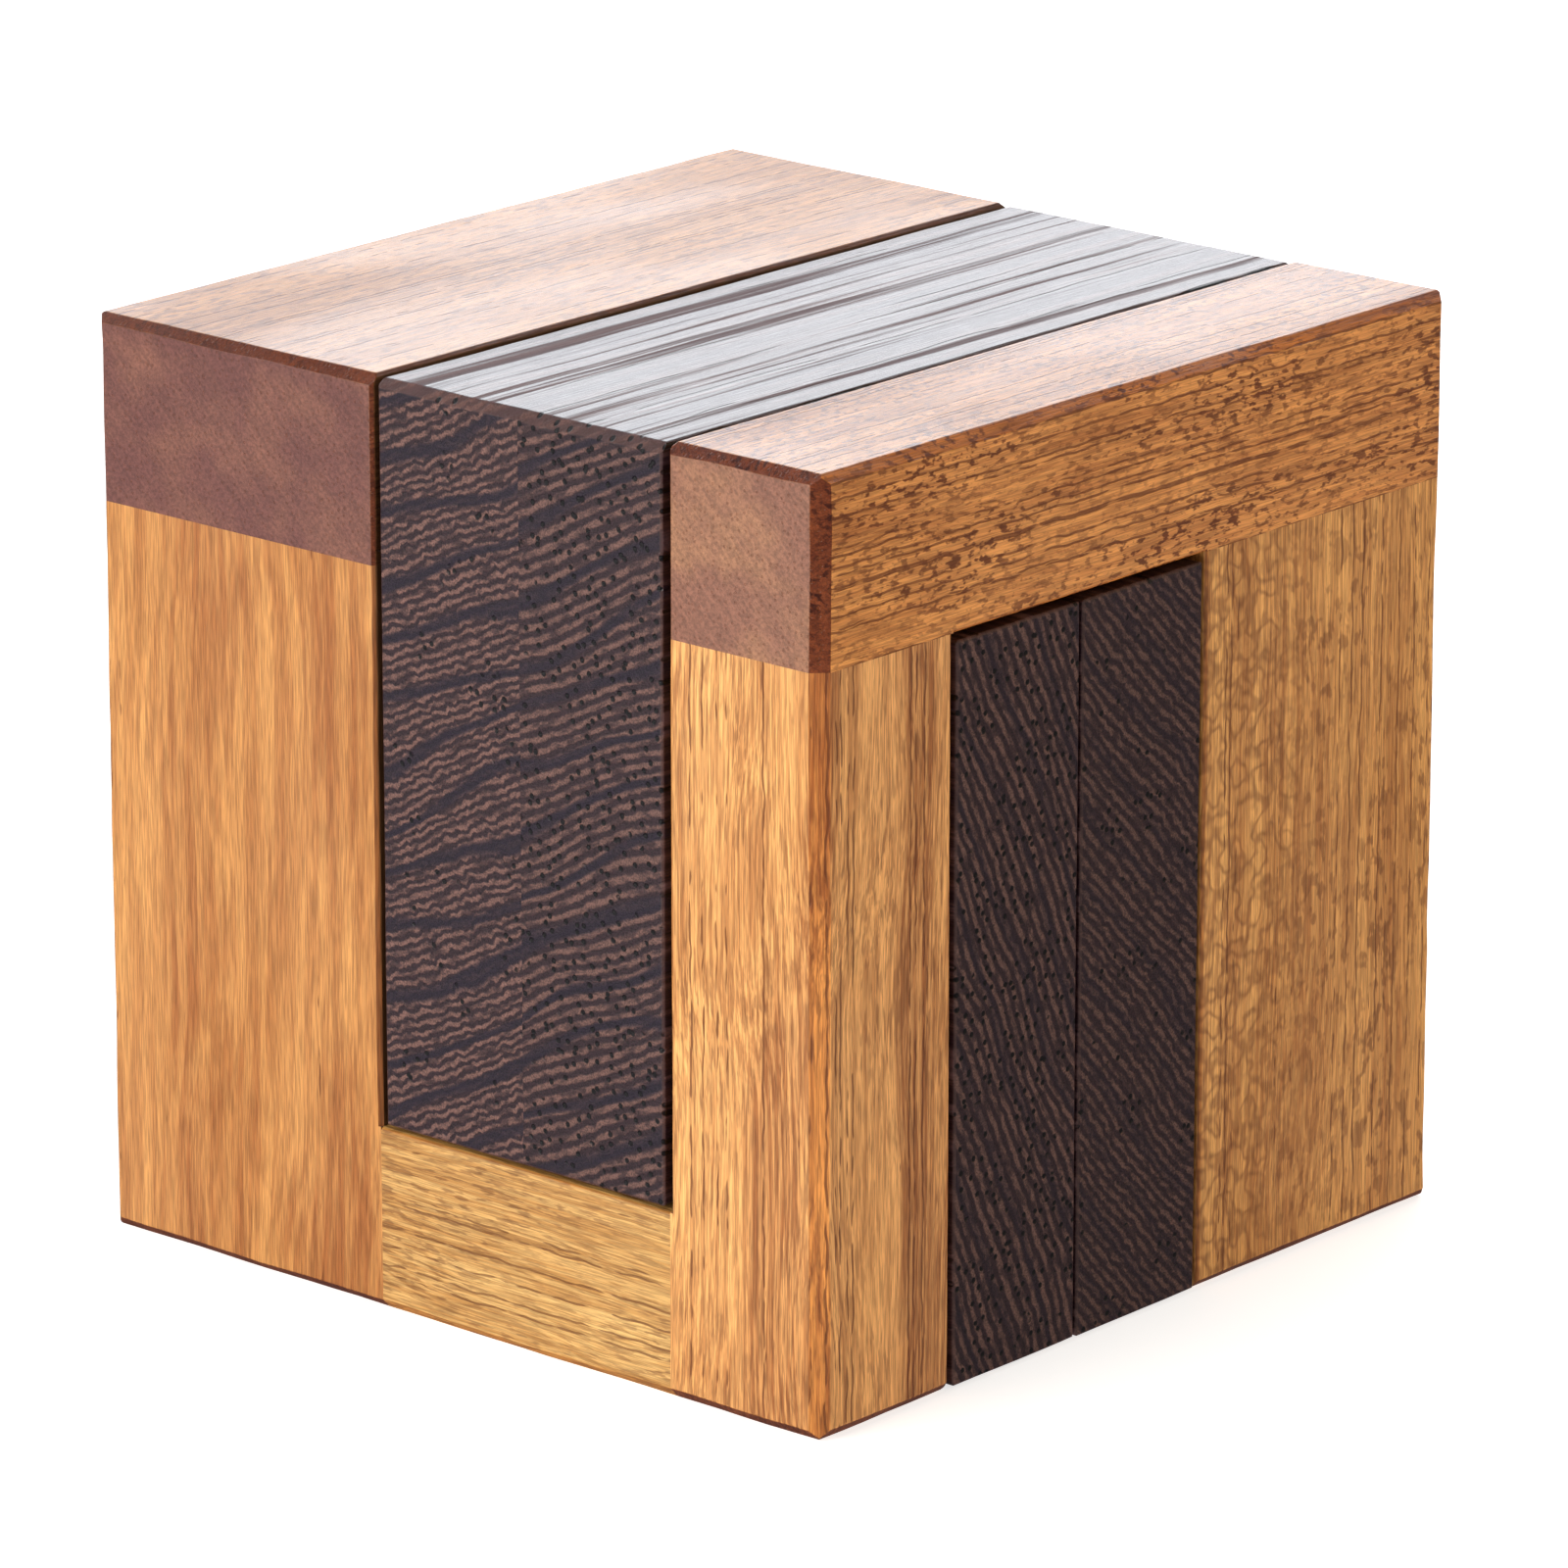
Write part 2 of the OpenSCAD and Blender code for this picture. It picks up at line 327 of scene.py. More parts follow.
def light_wood(name, grain, shift, pale, deep, ends=SAWN_BROWN, fleck=0.4,
               fleck_size=(0.45, 0.45, 1.6), ring=4.0, streak=(0.36, 0.36, 24), pores=0.6,
               edge=OILED_EDGE, curl=None, shade=0.0):
    """Golden hardwood with fine dark pores: dashes along the grain, dots at its ends.
    A curly figure comes in between the two places of curl, and shade paints shade onto a
    wall that faces the front: painted shade of the deep gap beside the lid's channel."""
    material = new_material(name)
    tree = material.node_tree
    place, facing, eased = grain_axes(tree, grain, shift)

    drift = sums(tree, "SUBTRACT", cloud(tree, place, (18, 18, 60), 2.0).outputs["Fac"], 0.5)
    drift = joined(tree, sums(tree, "MULTIPLY", drift, 10.0), sums(tree, "MULTIPLY", drift, 8.0))
    drifted = vector_sums(tree, "ADD", place, drift)

    rings = streaks(tree, drifted, (ring, ring * 3, 150), 0.36, 0.64)
    bands = streaks(tree, drifted, streak, 0.38, 0.62, detail=3.0, roughness=0.65)
    fibres = streaks(tree, place, (0.11, 0.11, 3.0), 0.36, 0.64)
    flecks = streaks(tree, drifted, fleck_size, 0.5, 0.62)
    patches = streaks(tree, drifted, (5, 5, 16), 0.35, 0.65, 0.4, 1.0, roughness=0.5)
    tubes = vessels(tree, place, 0.62, 0.12, pores, 0.5, 2.4)

    tone = sums(tree, "MULTIPLY", rings, 0.48)
    tone = sums(tree, "ADD", tone, sums(tree, "MULTIPLY", bands, 0.52))
    colour = blend_colours(tree, tone, (*deep, 1), (*pale, 1))
    brown = (deep[0] * 0.4, deep[1] * 0.28, deep[2] * 0.22, 1)
    flecked = sums(tree, "MULTIPLY", sums(tree, "MULTIPLY", flecks, patches), fleck)
    if curl:
        curly = step(tree, split_up(tree, drifted)[0], *curl)
        lumps = cloud(tree, place, (1.9, 1.9, 2.1), 1.0).outputs["Fac"]
        bent = sums(tree, "ABSOLUTE", sums(tree, "SUBTRACT", lumps, 0.5))
        curls = sums(tree, "MULTIPLY", step(tree, bent, 0.11, 0.0, 0.0, 0.5), curly)
        colour = blend_colours(tree, curls, colour, brown)
        plain = sums(tree, "SUBTRACT", 1.0, sums(tree, "MULTIPLY", curly, 0.6))
        flecked = sums(tree, "MULTIPLY", flecked, plain)
    colour = blend_colours(tree, flecked, colour, brown)
    colour = shaded(tree, colour, sums(tree, "ADD", sums(tree, "MULTIPLY", fibres, 0.44), 0.78))

    cross = step(tree, facing, 0.3, 0.6)
    end = step(tree, facing, 0.8, 0.97)
    colour = blend_colours(tree, end, colour, sawn_end(tree, place, ends))
    # Eased surfaces take the edge colour, darkened where oil soaked in. The much darker edge
    # colours given to the rear rail and rear left post are painted shade of the gap.
    soaked_and_shaded = blend_colours(tree, cross, (*edge, 1), OILED_SAWN_EDGE)
    colour = blend_colours(tree, eased, colour, soaked_and_shaded, "MULTIPLY")
    shown = sums(tree, "MULTIPLY", tubes, step(tree, end, 0.0, 1.0, 0.75, 0.3))
    colour = blend_colours(tree, shown, colour, brown)
    # Painted shade: a wall that faces the front is darkened towards near-black, for the shadow
    # in the deep gap beside the lid's channel.
    if shade:
        normal = split_up(tree, new_node(tree, "ShaderNodeTexCoord").outputs["Normal"])
        painted_gap_shade = step(tree, normal["Y"], -0.8, -0.97, 0.0, shade)
        colour = blend_colours(tree, painted_gap_shade, colour, GAP_SHADE_BROWN)

    worn = streaks(tree, place, (20, 20, 50), 0.35, 0.65, 0.33, 0.46, roughness=0.5)
    roughness = sums(tree, "ADD", worn, sums(tree, "MULTIPLY", end, 0.25))
    height = sums(tree, "SUBTRACT", sums(tree, "MULTIPLY", fibres, 0.3), tubes)
    finished(tree, colour, roughness, height, LIGHT_PORE_DEPTH)
    return material


def cage_piece(node, slot, wood):
    """An oiled piece of the cage, which stands for the sawn node."""
    put_on(worked_piece(node, "oiled_" + node, CAGE_ARRIS), wood, "cage", slot, node)


cage_piece("top_rail_front", "light_wood", light_wood(
    "front rail wood", "X", (3, 11, 0), (0.72, 0.30, 0.07), (0.36, 0.115, 0.022),
    ends=(0.24, 0.10, 0.062), fleck=0.95, fleck_size=(0.5, 0.5, 1.1), ring=3.0,
    streak=(0.5, 0.5, 9)))
# The rear rail's front wall and its much darker eased edges are painted shade of the gap behind
# the lid.
cage_piece("top_rail_rear", "light_wood", light_wood(
    "rear rail wood", "X", (40, 3, 30), (0.66, 0.29, 0.08), (0.38, 0.14, 0.035),
    ends=(0.145, 0.05, 0.041), fleck=0.6, fleck_size=(0.6, 0.6, 2.2), ring=5.0,
    edge=(0.3, 0.19, 0.13), shade=0.85))

# ---- Posts --------------------------------------------------------------------------
# Four posts of the same wood stand at the corners, one or two grid units thick each way.
# Their grain runs upright, and each was cut from a board of its own colour.

CURLY_POST_SHIFT = 70
CURLY_FROM = 23
CURLY_TO = 14

cage_piece("post_front_left", "gold_wood", light_wood(
    "near post wood", "Z", (0, 40, 0), (0.87, 0.43, 0.135), (0.34, 0.115, 0.026),
    fleck=0.45, fleck_size=(0.28, 0.28, 3.0), ring=2.2, pores=0.8))
# The rear left post's front wall and its much darker eased edges are painted shade of the gap
# beside the lid.
cage_piece("post_rear_left", "light_wood", light_wood(
    "left post wood", "Z", (9, 80, 12), (0.60, 0.275, 0.077), (0.34, 0.115, 0.027),
    fleck=0.2, fleck_size=(0.35, 0.35, 5.0), ring=1.7, streak=(1.1, 1.1, 26), pores=0.3,
    edge=(0.5, 0.36, 0.24), shade=0.85))
cage_piece("post_front_right", "red_gold_wood", light_wood(
    "right post wood", "Z", (CURLY_POST_SHIFT, 5, 50), (0.78, 0.39, 0.105),
    (0.42, 0.165, 0.036), fleck=0.6, fleck_size=(0.85, 0.85, 1.8), ring=3.5,
    curl=(CURLY_POST_SHIFT + CURLY_FROM, CURLY_POST_SHIFT + CURLY_TO)))
cage_piece("post_rear_right", "red_gold_wood", light_wood(
    "back post wood", "Z", (20, 25, 90), (0.68, 0.31, 0.095), (0.42, 0.155, 0.04),
    fleck=0.4, fleck_size=(0.4, 0.4, 3.0), ring=4.5))

# ---- Bottom rails -------------------------------------------------------------------
# A short rail joins the posts low on each side, under the lid's foot. Its grain runs level
# from front to rear, and it is dowelled between the posts.

cage_piece("bottom_rail_left", "gold_wood", light_wood(
    "left rail wood", "Y", (5, 60, 5), (0.78, 0.48, 0.165), (0.44, 0.21, 0.05),
    fleck=0.6, fleck_size=(0.35, 0.35, 2.2), ring=3.0))
cage_piece("bottom_rail_right", "gold_wood", light_wood(
    "right rail wood", "Y", (55, 10, 25), (0.64, 0.34, 0.11), (0.42, 0.17, 0.045),
    fleck=0.5, fleck_size=(0.4, 0.4, 2.2), ring=3.5))

# ---- Lid ----------------------------------------------------------------------------
# Two dark boards glued side by side make the lid, which straddles the compartment. The
# grain runs from left to right, so both of the lid's ends show banded end grain.

BOARD_ARRIS = 0.08 * MM
LID_SLOPE = radians(-25)
LID_SEED = 3.0
BROAD_PITCH = 4.3
BROWN = (0.132, 0.062, 0.050)
VIOLET = (0.026, 0.010, 0.0145, 1)
INKY = (0.012, 0.006, 0.017, 1)
SOOT = (0.002, 0.001, 0.002, 1)
DULL = (0.20, 0.10, 0.10, 1)
END_ROUGHNESS = (0.55, 0.55, 0.55, 1)
DARK_PORE_DEPTH = 0.05 * MM


def dark_wood(name, grain, shift, slope, pitch=0.85, pores=0.4, waviness=1.0, browner=1.0,
              bold=0.9):
    """Violet-black wood with fine brown bands, which lie at the given slope in its end."""
    material = new_material(name)
    tree = material.node_tree
    place, facing, eased = grain_axes(tree, grain, shift)
    along = (cos(slope), sin(slope), 0)
    across = (-sin(slope), cos(slope), 0)

    bend = sums(tree, "SUBTRACT", cloud(tree, place, (15, 15, 90), 1.0).outputs["Fac"], 0.5)
    level = vector_sums(tree, "DOT_PRODUCT", place, across)
    level = sums(tree, "ADD", level, sums(tree, "MULTIPLY", bend, 3.0))
    layers = joined(tree, vector_sums(tree, "DOT_PRODUCT", place, along), level,
                    split_up(tree, place)[2])

    ripple = cloud(tree, layers, (1.0, 1.8, 22), 2.0, 0.55).outputs["Fac"]
    ripple = sums(tree, "MULTIPLY", sums(tree, "SUBTRACT", ripple, 0.5), 0.85 * waviness)
    phase = sums(tree, "MULTIPLY", sums(tree, "ADD", level, ripple), 2 * pi / pitch)
    end = step(tree, facing, 0.5, 0.8)
    line = step(tree, sums(tree, "SINE", phase), -0.6, 0.75)
    line = sums(tree, "MULTIPLY", line, sums(tree, "ADD", sums(tree, "MULTIPLY", end, 0.6), 0.4))
    broken = streaks(tree, layers, (1.6, 0.8, 20), 0.36, 0.56, 0.2, 1.0)
    drawn = cloud(tree, layers, (22, 6, 80), 1.5).outputs["Fac"]
    swing = sums(tree, "MULTIPLY", level, 2 * pi / BROAD_PITCH)
    swing = sums(tree, "ADD", swing, sums(tree, "MULTIPLY", drawn, 8.0))
    broad = step(tree, sums(tree, "SINE", swing), -0.97, -0.62, 1 - bold, 1.0)
    fibres = streaks(tree, place, (0.12, 0.12, 5.0), 0.35, 0.65)

    brown = tuple(browner * c for c in BROWN) + (1,)
    colour = blend_colours(tree, sums(tree, "MULTIPLY", line, broken), VIOLET, brown)
    colour = blend_colours(tree, broad, INKY, colour)
    colour = shaded(tree, colour, sums(tree, "ADD", sums(tree, "MULTIPLY", fibres, 0.8), 0.6))
    # Painted highlight: eased edges and bevels are lightened towards brown, standing in for the
    # sheen they catch.
    colour = blend_colours(tree, sums(tree, "MULTIPLY", eased, 0.45), colour, brown)
    rare = 0.62 - 0.3 * pores
    crowd = streaks(tree, place, (4, 4, 60), rare, rare + 0.04, roughness=0.5)
    holes = sums(tree, "MULTIPLY", vessels(tree, place, 1.2, 0.27, 0.9, 1.2, 9.0), crowd)
    colour = blend_colours(tree, holes, colour, SOOT)

    silky = streaks(tree, place, (2.2, 2.2, 190), 0.37, 0.48, detail=4.0, roughness=0.75)
    dull = sums(tree, "MULTIPLY", sums(tree, "SUBTRACT", 1.0, silky),
                sums(tree, "SUBTRACT", 1.0, end))
    colour = blend_colours(tree, sums(tree, "MULTIPLY", dull, 0.5), colour, DULL)
    silky = sums(tree, "SUBTRACT", 0.78, sums(tree, "MULTIPLY", silky, 0.48))
    roughness = blend_colours(tree, end, grey(tree, silky), END_ROUGHNESS)
    height = sums(tree, "MULTIPLY", sums(tree, "MULTIPLY", line, broad), 0.4)
    height = sums(tree, "SUBTRACT", height, sums(tree, "MULTIPLY", holes, 1.5))
    height = sums(tree, "ADD", height, sums(tree, "MULTIPLY", fibres, 0.3))
    finished(tree, colour, roughness, height, DARK_PORE_DEPTH)
    return material


def dark_board(node, body, seed, wood):
    """An oiled dark board with every long edge eased, apart from the lid's glue line."""
    board = worked_piece(node, "oiled_" + node, BOARD_ARRIS, True, seed)
    put_on(board, wood, body, "dark_wood", node)


dark_board("lid_board_front", "lid", LID_SEED, dark_wood(
    "front lid board wood", "X", (0, 0, 0), LID_SLOPE, pitch=0.95, pores=0.8, waviness=0.7))
dark_board("lid_board_rear", "lid", LID_SEED, dark_wood(
    "rear lid board wood", "X", (0, 0.6, 20), LID_SLOPE, pitch=0.75, pores=0.12,
    waviness=1.4, browner=1.15))

# ---- Slide boards -------------------------------------------------------------------
# Two loose boards of the same dark wood run from front to rear, notched from above into a
# floor with a leg at each end. Their long edges are eased, and a fine gap lies between.

LEFT_SLOPE = radians(-64)
RIGHT_SLOPE = radians(-48)
LEFT_SEED = 5.0
RIGHT_SEED = 7.0

dark_board("slide_board_left", "left_slide", LEFT_SEED, dark_wood(
    "left slide board wood", "Y", (8, 3, 0), LEFT_SLOPE, pitch=0.95, pores=0.7,
    waviness=0.7, browner=0.9, bold=0.5))
dark_board("slide_board_right", "right_slide", RIGHT_SEED, dark_wood(
    "right slide board wood", "Y", (30, 9, 40), RIGHT_SLOPE, pitch=0.85, pores=0.2,
    waviness=1.0, browner=0.75, bold=0.4))

# ---- Runners ------------------------------------------------------------------------
# A plain beech strip is let into the outer side of each slide board and glued. It runs in
# the blind groove of the cage and was eased with a block plane and left bare.

RUNNER_ARRIS = 0.3 * MM
RAY_BROWN = (0.36, 0.19, 0.09, 1)
BARE_DEPTH = 0.03 * MM


def pale_wood(name, grain, shift, pale, deep):
    """Bare beech: even and pale, with short brown rays and a dry surface."""
    material = new_material(name)
    tree = material.node_tree
    place, facing, eased = grain_axes(tree, grain, shift)
    years = streaks(tree, place, (1.6, 1.6, 90), 0.36, 0.64, roughness=0.5)
    rays = streaks(tree, place, (0.14, 0.14, 1.1), 0.56, 0.7)
    fibres = streaks(tree, place, (0.1, 0.1, 2.5), 0.35, 0.65)
    colour = blend_colours(tree, years, (*deep, 1), (*pale, 1))
    colour = blend_colours(tree, sums(tree, "MULTIPLY", rays, 0.5), colour, RAY_BROWN)
    colour = shaded(tree, colour, sums(tree, "ADD", sums(tree, "MULTIPLY", fibres, 0.24), 0.88))
    dusty = sums(tree, "MULTIPLY", step(tree, facing, 0.5, 0.9), 0.35)
    colour = blend_colours(tree, dusty, colour, RAY_BROWN)
    rubbed = sums(tree, "MULTIPLY", eased, -0.15)
    finished(tree, colour, sums(tree, "ADD", rubbed, 0.68), fibres, BARE_DEPTH)
    return material


strip = worked_piece("slide_runner_left", "planed_slide_runner_left", RUNNER_ARRIS, True)
wood = pale_wood("left runner wood", "Y", (0, 0, 0), (0.70, 0.50, 0.31), (0.56, 0.36, 0.20))
put_on(strip, wood, "left_slide", "dowel_wood", "slide_runner_left")

strip = worked_piece("slide_runner_right", "planed_slide_runner_right", RUNNER_ARRIS, True)
wood = pale_wood("right runner wood", "Y", (7, 4, 9), (0.68, 0.47, 0.28), (0.52, 0.33, 0.18))
put_on(strip, wood, "right_slide", "dowel_wood", "slide_runner_right")

# ---- Dowels -------------------------------------------------------------------------
# Fluted beech dowels, cut to length and chamfered at both ends, are glued into bores over
# the posts, at the ends of the bottom rails and across the lid's glue line.

DOWEL_RADIUS = 2.93 * MM
DOWEL_HALF = 8.93 * MM
DOWEL_CHAMFER = 0.7 * MM
FLUTES = 16
FLUTE_DEPTH = 0.28 * MM
STEPS_PER_FLUTE = 6
TURNED_CREASE = radians(35)
UPRIGHT = 0.0
LYING = pi / 2


def turned_mesh(name, outline, round_steps, flutes=0, flute_depth=0.0):
    """A closed solid of (radius, height, fluted) rings about Z."""
    solid = bmesh.new()
    rings = []
    for radius, height, fluted in outline:
        ring = []
        for index in range(round_steps):
            angle = 2 * pi * index / round_steps
            groove = max(0.0, cos(angle * flutes)) ** 2 * flute_depth if fluted else 0.0
            reach = radius - groove
            ring.append(solid.verts.new((reach * cos(angle), reach * sin(angle), height)))
        rings.append(ring)
    for lower, upper in zip(rings, rings[1:]):
        for index in range(round_steps):
            after = (index + 1) % round_steps
            solid.faces.new((lower[index], lower[after], upper[after], upper[index]))
    solid.faces.new(list(reversed(rings[0])))
    solid.faces.new(rings[-1])
    for face in solid.faces:
        face.smooth = True
    for edge in solid.edges:
        edge.smooth = edge.calc_face_angle(0) < TURNED_CREASE
    mesh = bpy.data.meshes.new(name)
    solid.to_mesh(mesh)
    solid.free()
    return mesh


# One layout tree serves every set of like solids: a copy of the pattern at each point, laid
# down by the tilt and spun at random about its own axis.
layout_tree = bpy.data.node_groups.new("layout", "GeometryNodeTree")
layout_inputs = {}
for label, kind in (("Spots", "Geometry"), ("Pattern", "Object"), ("Tilt", "Float"),
                    ("Seed", "Int"), ("Material", "Material")):
    socket = layout_tree.interface.new_socket(
        label, in_out="INPUT", socket_type="NodeSocket" + kind
    )
    layout_inputs[label] = socket.identifier
layout_tree.interface.new_socket("Solids", in_out="OUTPUT", socket_type="NodeSocketGeometry")
entry = new_node(layout_tree, "NodeGroupInput")
source = new_node(layout_tree, "GeometryNodeObjectInfo")
feed(layout_tree, source.inputs["Object"], entry.outputs["Pattern"])
spin = new_node(layout_tree, "FunctionNodeRandomValue", data_type="FLOAT")
feed(layout_tree, spin.inputs[2], 0.0)
feed(layout_tree, spin.inputs[3], 2 * pi)
feed(layout_tree, spin.inputs["Seed"], entry.outputs["Seed"])
spun = new_node(layout_tree, "FunctionNodeEulerToRotation")
feed(layout_tree, spun.inputs[0], joined(layout_tree, 0.0, 0.0, spin.outputs[1]))
tilted = new_node(layout_tree, "FunctionNodeEulerToRotation")
feed(layout_tree, tilted.inputs[0], joined(layout_tree, entry.outputs["Tilt"]))
turned = new_node(layout_tree, "FunctionNodeRotateRotation", rotation_space="LOCAL")
feed(layout_tree, turned.inputs[0], tilted.outputs[0])
feed(layout_tree, turned.inputs[1], spun.outputs[0])
copies = new_node(layout_tree, "GeometryNodeInstanceOnPoints")
feed(layout_tree, copies.inputs["Points"], entry.outputs["Spots"])
feed(layout_tree, copies.inputs["Instance"], source.outputs["Geometry"])
feed(layout_tree, copies.inputs["Rotation"], turned.outputs[0])
real = new_node(layout_tree, "GeometryNodeRealizeInstances")
feed(layout_tree, real.inputs[0], copies.outputs[0])
painted = new_node(layout_tree, "GeometryNodeSetMaterial")
feed(layout_tree, painted.inputs["Geometry"], real.outputs[0])
feed(layout_tree, painted.inputs["Material"], entry.outputs["Material"])
leave = new_node(layout_tree, "NodeGroupOutput")
feed(layout_tree, leave.inputs[0], painted.outputs[0])


def laid_out(name, pattern_mesh, spots, tilt, material, seed):
    """Copies of one solid at the given spots, as one plain mesh."""
    pattern = bpy.data.objects.new(name + "_pattern", pattern_mesh)
    points = bpy.data.meshes.new(name + " spots")
    points.from_pydata(spots, [], [])
    holder = bpy.data.objects.new(name + "_holder", points)
    bpy.context.scene.collection.objects.link(pattern)
    bpy.context.scene.collection.objects.link(holder)
    layout = holder.modifiers.new("layout", "NODES")
    layout.node_group = layout_tree
    layout[layout_inputs["Pattern"]] = pattern
    layout[layout_inputs["Tilt"]] = tilt
    layout[layout_inputs["Seed"]] = seed
    layout[layout_inputs["Material"]] = material
    bpy.context.view_layer.update()
    evaluated = holder.evaluated_get(bpy.context.evaluated_depsgraph_get())
    mesh = bpy.data.meshes.new_from_object(evaluated)
    mesh.name = name
    holder.modifiers.clear()
    bpy.data.objects.remove(holder)
    bpy.data.objects.remove(pattern)
    piece = bpy.data.objects.new(name, mesh)
    bpy.context.scene.collection.objects.link(piece)
    return piece


def grid_spot(x, y, z):
    return Vector((cad_low.x + x * GRID, cad_low.y + y * GRID, cad_low.z + z * GRID))


def dowel_end(direction):
    """The two rings of an end, from the tip inwards."""
    tip = (DOWEL_RADIUS - DOWEL_CHAMFER, direction * DOWEL_HALF, False)
    shoulder = (DOWEL_RADIUS, direction * (DOWEL_HALF - DOWEL_CHAMFER), True)
    return [tip, shoulder]


dowel_mesh = turned_mesh(
    "fluted dowel", dowel_end(-1) + dowel_end(1)[::-1], FLUTES * STEPS_PER_FLUTE, FLUTES,
    FLUTE_DEPTH,
)

over_posts = [(0.5, 0.5), (0.5, 3.5), (0.5, 4.5), (3.5, 0.5), (4.5, 0.5), (3.5, 3.5), (4.5, 4.5)]
wood = pale_wood("post dowel wood", "Z", (3, 8, 5), (0.72, 0.52, 0.33), (0.58, 0.38, 0.21))
dowels = laid_out("fluted_post_dowels", dowel_mesh, [grid_spot(x, y, 4) for x, y in over_posts],
                  UPRIGHT, wood, 3)
put_on(dowels, wood, "cage", "dowel_wood", "post_dowels")

rail_ends = [(0.5, 1), (0.5, 3), (3.7, 1), (3.7, 3), (4.5, 1), (4.5, 3)]
wood = pale_wood("rail dowel wood", "Y", (6, 1, 2), (0.70, 0.50, 0.31), (0.56, 0.36, 0.20))
dowels = laid_out("fluted_rail_dowels", dowel_mesh, [grid_spot(x, y, 0.5) for x, y in rail_ends],
                  LYING, wood, 5)
put_on(dowels, wood, "cage", "dowel_wood", "rail_dowels")

over_glue_line = [(0.5, 2), (2, 4), (3.5, 2), (4.5, 2)]
wood = pale_wood("lid dowel wood", "Y", (1, 5, 8), (0.71, 0.51, 0.32), (0.57, 0.37, 0.21))
dowels = laid_out("fluted_lid_dowels", dowel_mesh,
                  [grid_spot(x, 2, z) for x, z in over_glue_line], LYING, wood, 8)
put_on(dowels, wood, "lid", "dowel_wood", "lid_dowels")

# ---- Magnets ------------------------------------------------------------------------
# Nickel plated discs of sintered magnet are pressed flush into the lid's front side and
# into the slide boards' front legs, where they face each other. Their rims are rounded.

MAGNET_RADIUS = 2.93 * MM
MAGNET_HALF = 0.96 * MM
MAGNET_ROUND = 0.3 * MM
RIM_STEPS = 4
DISC_STEPS = 96
BRIGHT = (0.74, 0.72, 0.68, 1)
CLOUDED = (0.62, 0.60, 0.56, 1)
SCUFFED = (0.44, 0.42, 0.39, 1)
PEEL_DEPTH = 0.01 * MM


def nickel(name, shift):
    """Bright nickel plate with a fine orange peel, tumbling scuffs and duller spots."""
    material = new_material(name)
    tree = material.node_tree
    place, _, eased = grain_axes(tree, "Y", shift)
    spots = streaks(tree, place, (1.3, 1.3, 1.3), 0.4, 0.65, detail=3.0)
    scuffs = streaks(tree, place, (0.08, 1.6, 0.3), 0.58, 0.68)
    peel = cloud(tree, place, (0.12, 0.12, 0.12), 2.0).outputs["Fac"]
    colour = blend_colours(tree, spots, BRIGHT, CLOUDED)
    colour = blend_colours(tree, sums(tree, "MULTIPLY", scuffs, 0.5), colour, SCUFFED)
    roughness = sums(tree, "ADD", sums(tree, "MULTIPLY", spots, 0.12), 0.2)
    roughness = sums(tree, "ADD", roughness, sums(tree, "MULTIPLY", scuffs, 0.2))
    roughness = sums(tree, "ADD", roughness, sums(tree, "MULTIPLY", eased, 0.08))
    finished(tree, colour, roughness, peel, PEEL_DEPTH, metallic=1.0)
    return material


rim = []
for index in range(RIM_STEPS + 1):
    angle = pi / 2 * index / RIM_STEPS
    radius = MAGNET_RADIUS - MAGNET_ROUND * (1 - sin(angle))
    rim.append((radius, MAGNET_HALF - MAGNET_ROUND * (1 - cos(angle)), False))
magnet_outline = [(radius, -height, fluted) for radius, height, fluted in rim] + rim[::-1]
magnet_mesh = turned_mesh("disc magnet", magnet_outline, DISC_STEPS)


def magnets(name, node, body, columns, plate, seed):
    """The discs a node holds, side by side over the given grid columns."""
    low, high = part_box(node)
    y, z = (low.y + high.y) / 2, (low.z + high.z) / 2
    spots = [(cad_low.x + x * GRID, y, z) for x in columns]
    discs = laid_out(name, magnet_mesh, spots, LYING, plate, seed)
    put_on(discs, plate, body, "magnet", node)


magnets("plated_lid_magnets", "lid_magnets", "lid", (1.5, 2.5),
        nickel("lid magnet nickel", (0, 0, 0)), 2)
magnets("plated_slide_magnet_left", "slide_magnet_left", "left_slide", (1.5,),
        nickel("left magnet nickel", (5, 2, 8)), 4)
magnets("plated_slide_magnet_right", "slide_magnet_right", "right_slide", (2.5,),
        nickel("right magnet nickel", (9, 6, 3)), 6)

# ---- Floor, light and camera --------------------------------------------------------
# The box stands on a plain white sweep, between a soft light from the left, a large pale
# screen behind it and a low fill from the right.

FLOOR_HALF = 8.0
PAPER_GLOW = 0.7

floor_mesh = bpy.data.meshes.new("floor")
corners = [(x * FLOOR_HALF, y * FLOOR_HALF, 0) for x, y in ((-1, -1), (1, -1), (1, 1), (-1, 1))]
floor_mesh.from_pydata(corners, [], [(0, 1, 2, 3)])
floor = bpy.data.objects.new("floor", floor_mesh)
bpy.context.scene.collection.objects.link(floor)
floor.visible_glossy = False
paper = new_material("white paper")
shader = new_node(paper.node_tree, "ShaderNodeBsdfPrincipled")
shader.inputs["Base Color"].default_value = (0.8, 0.8, 0.8, 1)
shader.inputs["Roughness"].default_value = 0.9
shader.inputs["Specular IOR Level"].default_value = 0.0
shader.inputs["Emission Color"].default_value = (1, 1, 1, 1)
shader.inputs["Emission Strength"].default_value = PAPER_GLOW
output = new_node(paper.node_tree, "ShaderNodeOutputMaterial")
feed(paper.node_tree, output.inputs["Surface"], shader.outputs[0])
floor_mesh.materials.append(paper)

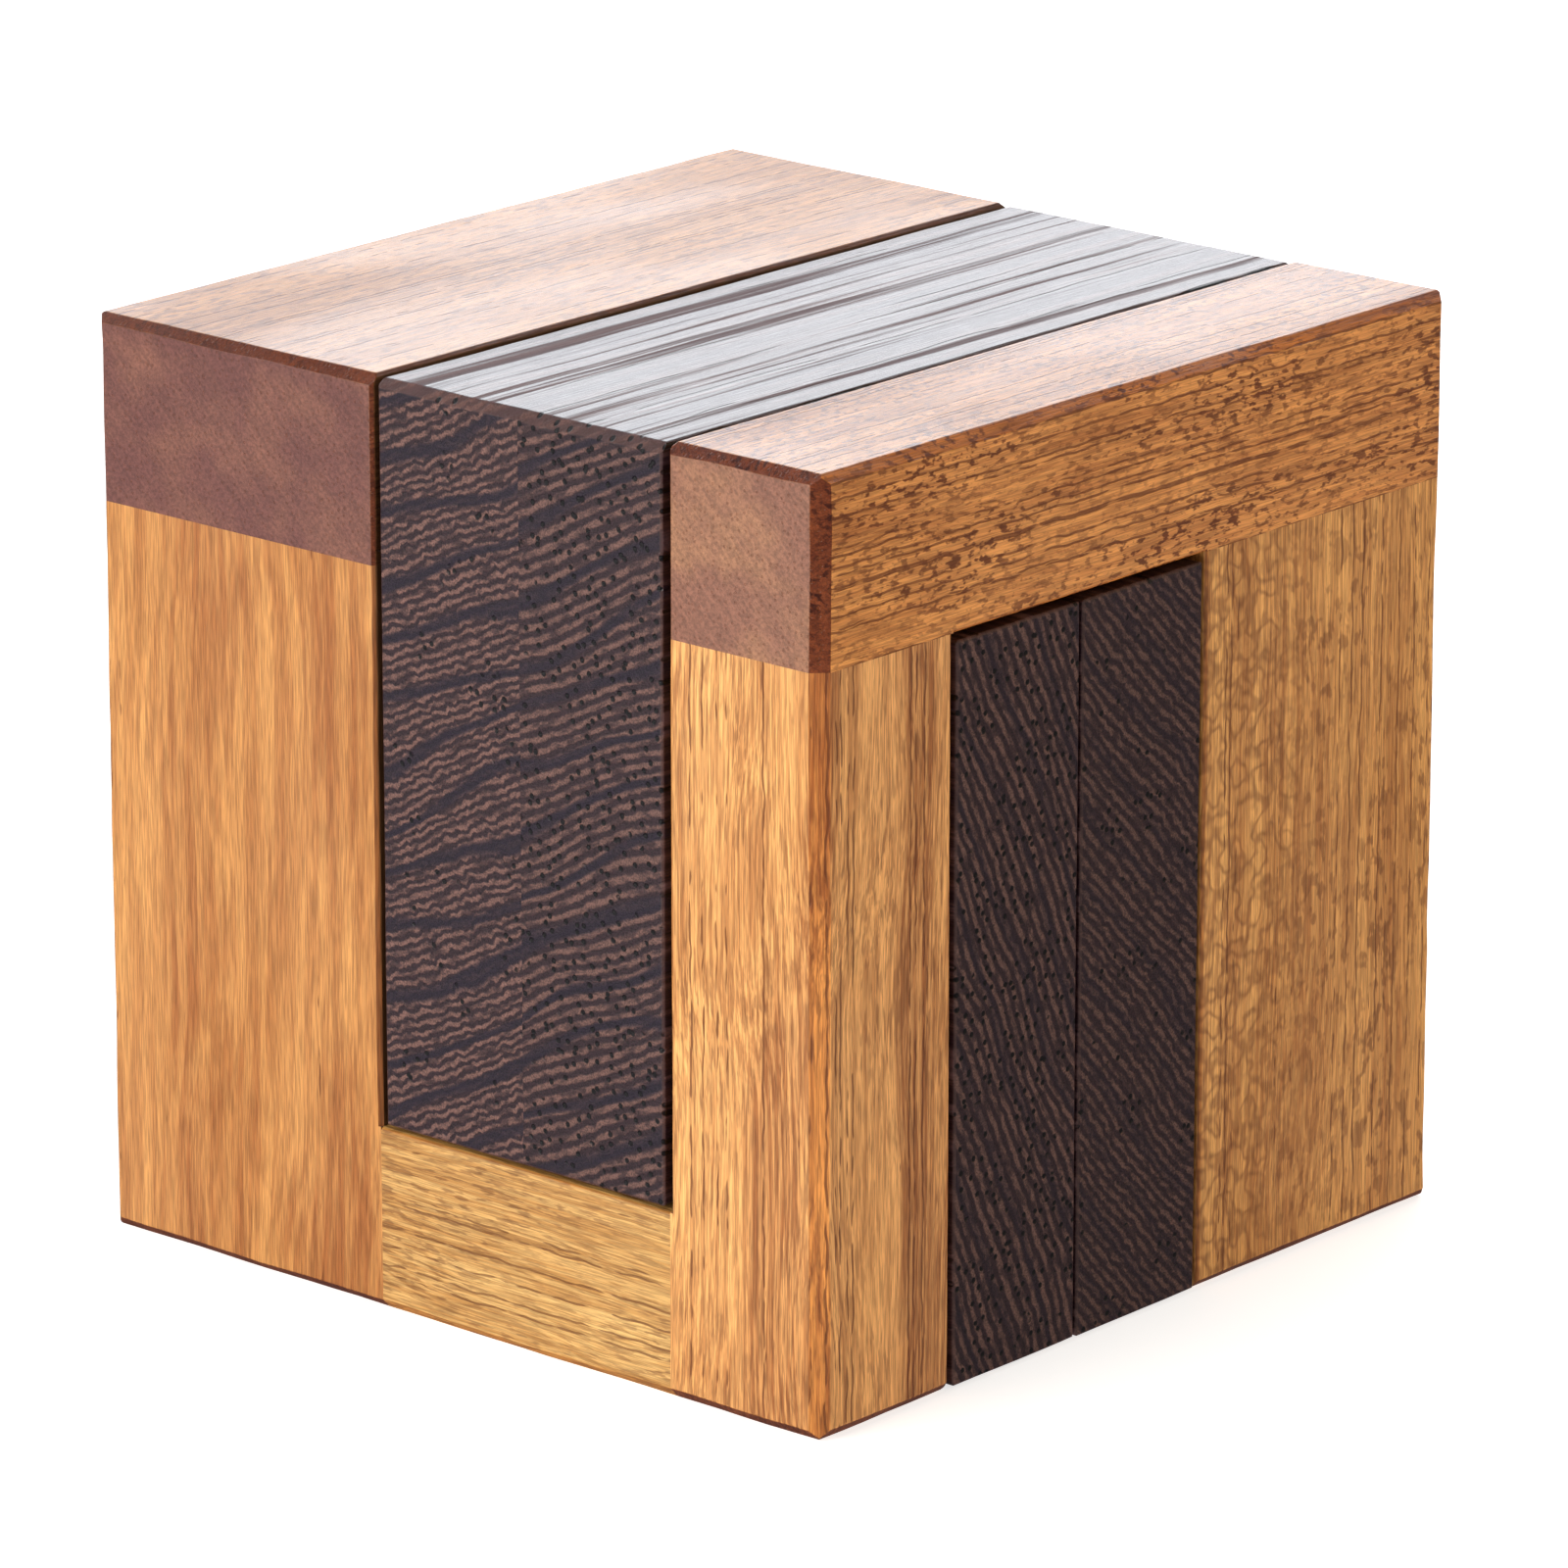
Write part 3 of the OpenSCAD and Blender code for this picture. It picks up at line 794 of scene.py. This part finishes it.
VIEW_TURN = radians(-48.8)
VIEW_RISE = radians(17.0)
CAMERA_DISTANCE = 9.968 * SIDE
AIM_ACROSS = 0.011 * SIDE
AIM_UP = -0.024 * SIDE


def direction(turn, rise):
    """From the box towards a point: turn 0 is in front of it and 90 to its right."""
    return Vector((sin(turn) * cos(rise), -cos(turn) * cos(rise), sin(rise)))


def soft_light(name, turn, rise, distance, width, height, power, colour):
    lamp = bpy.data.lights.new(name, "AREA")
    lamp.shape = "RECTANGLE"
    lamp.size = width
    lamp.size_y = height
    lamp.energy = power
    lamp.color = colour
    light = bpy.data.objects.new(name, lamp)
    away = direction(turn, rise)
    light.location = MIDDLE + away * distance
    light.rotation_mode = "QUATERNION"
    light.rotation_quaternion = away.to_track_quat("Z", "Y")
    light.visible_camera = False
    bpy.context.scene.collection.objects.link(light)


soft_light("key", radians(-100), radians(18), 0.9, 0.6, 0.5, 7.6, (1.0, 0.98, 0.95))
soft_light("screen", VIEW_TURN + pi, radians(24), 0.9, 1.5, 0.7, 12.3, (0.95, 0.96, 1.0))
soft_light("fill", radians(20), radians(28), 1.0, 0.8, 0.5, 2.75, (1.0, 0.77, 0.47))

world = bpy.data.worlds.new("room")
bpy.context.scene.world = world
world.use_nodes = True
world.node_tree.nodes["Background"].inputs["Color"].default_value = (0.9, 0.93, 1.0, 1)
world.node_tree.nodes["Background"].inputs["Strength"].default_value = 0.12

lens = bpy.data.cameras.new("camera")
lens.sensor_width = 36
lens.lens = 217.4
lens.clip_start = 0.01
lens.clip_end = 40
camera = bpy.data.objects.new("camera", lens)
back = direction(VIEW_TURN, VIEW_RISE)
camera.rotation_mode = "QUATERNION"
camera.rotation_quaternion = back.to_track_quat("Z", "Y")
sideways = camera.rotation_quaternion @ Vector((1, 0, 0))
upwards = camera.rotation_quaternion @ Vector((0, 1, 0))
camera.location = MIDDLE + back * CAMERA_DISTANCE + sideways * AIM_ACROSS + upwards * AIM_UP
bpy.context.scene.collection.objects.link(camera)
bpy.context.scene.camera = camera
bpy.context.scene.view_settings.view_transform = "Standard"
